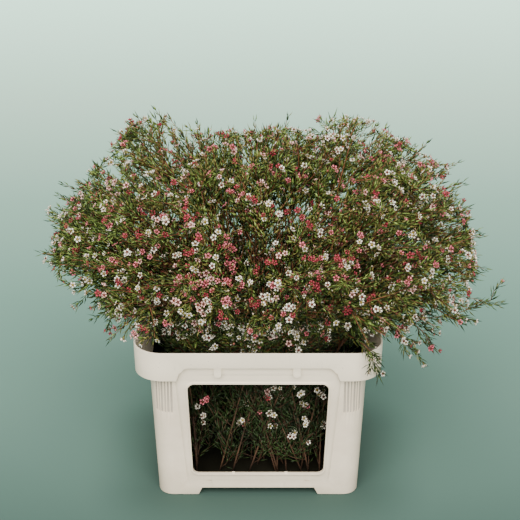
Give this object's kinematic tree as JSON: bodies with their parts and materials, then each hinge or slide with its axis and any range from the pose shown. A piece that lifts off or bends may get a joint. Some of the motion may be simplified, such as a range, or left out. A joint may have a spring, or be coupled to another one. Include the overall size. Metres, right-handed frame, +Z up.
{
  "type": "waxflower stems in a flower bucket",
  "caption": "Leafy waxflower stems with small white and pink flowers, standing in a moulded plastic flower bucket with a window in its front.",
  "frame": {"origin": "on the surface the bucket stands on, under the middle of the whole thing", "axes": "+X to the right along the bucket's long side, -Y out of the side with the window, +Z up"},
  "size_m": [0.7472, 0.5157, 0.6127],
  "materials": {
    "bucket_plastic": "cream moulded plastic, lightly scuffed",
    "waxflower": "green needle leaves and twigs, matt",
    "stem_bark": "reddish brown bark, matt",
    "white_petal": "waxy white petals",
    "pink_petal": "waxy pink petals",
    "flower_cup": "dark red and olive cups"
  },
  "bodies": {
    "root": {"bucket": "bucket_plastic", "stem_01": "waxflower", "stem_02": "waxflower", "stem_03": "waxflower", "stem_04": "waxflower", "stem_05": "waxflower", "stem_06": "waxflower", "stem_07": "waxflower", "stem_08": "waxflower", "stem_09": "waxflower", "stem_10": "waxflower", "stem_11": "waxflower", "stem_12": "waxflower", "stem_13": "waxflower", "stem_14": "waxflower", "stem_15": "waxflower", "stem_16": "waxflower", "stem_17": "waxflower", "stem_18": "waxflower", "stem_19": "waxflower", "stem_20": "waxflower", "stem_21": "waxflower", "stem_22": "waxflower", "stem_23": "waxflower", "stem_24": "waxflower"}
  },
  "joints": []
}
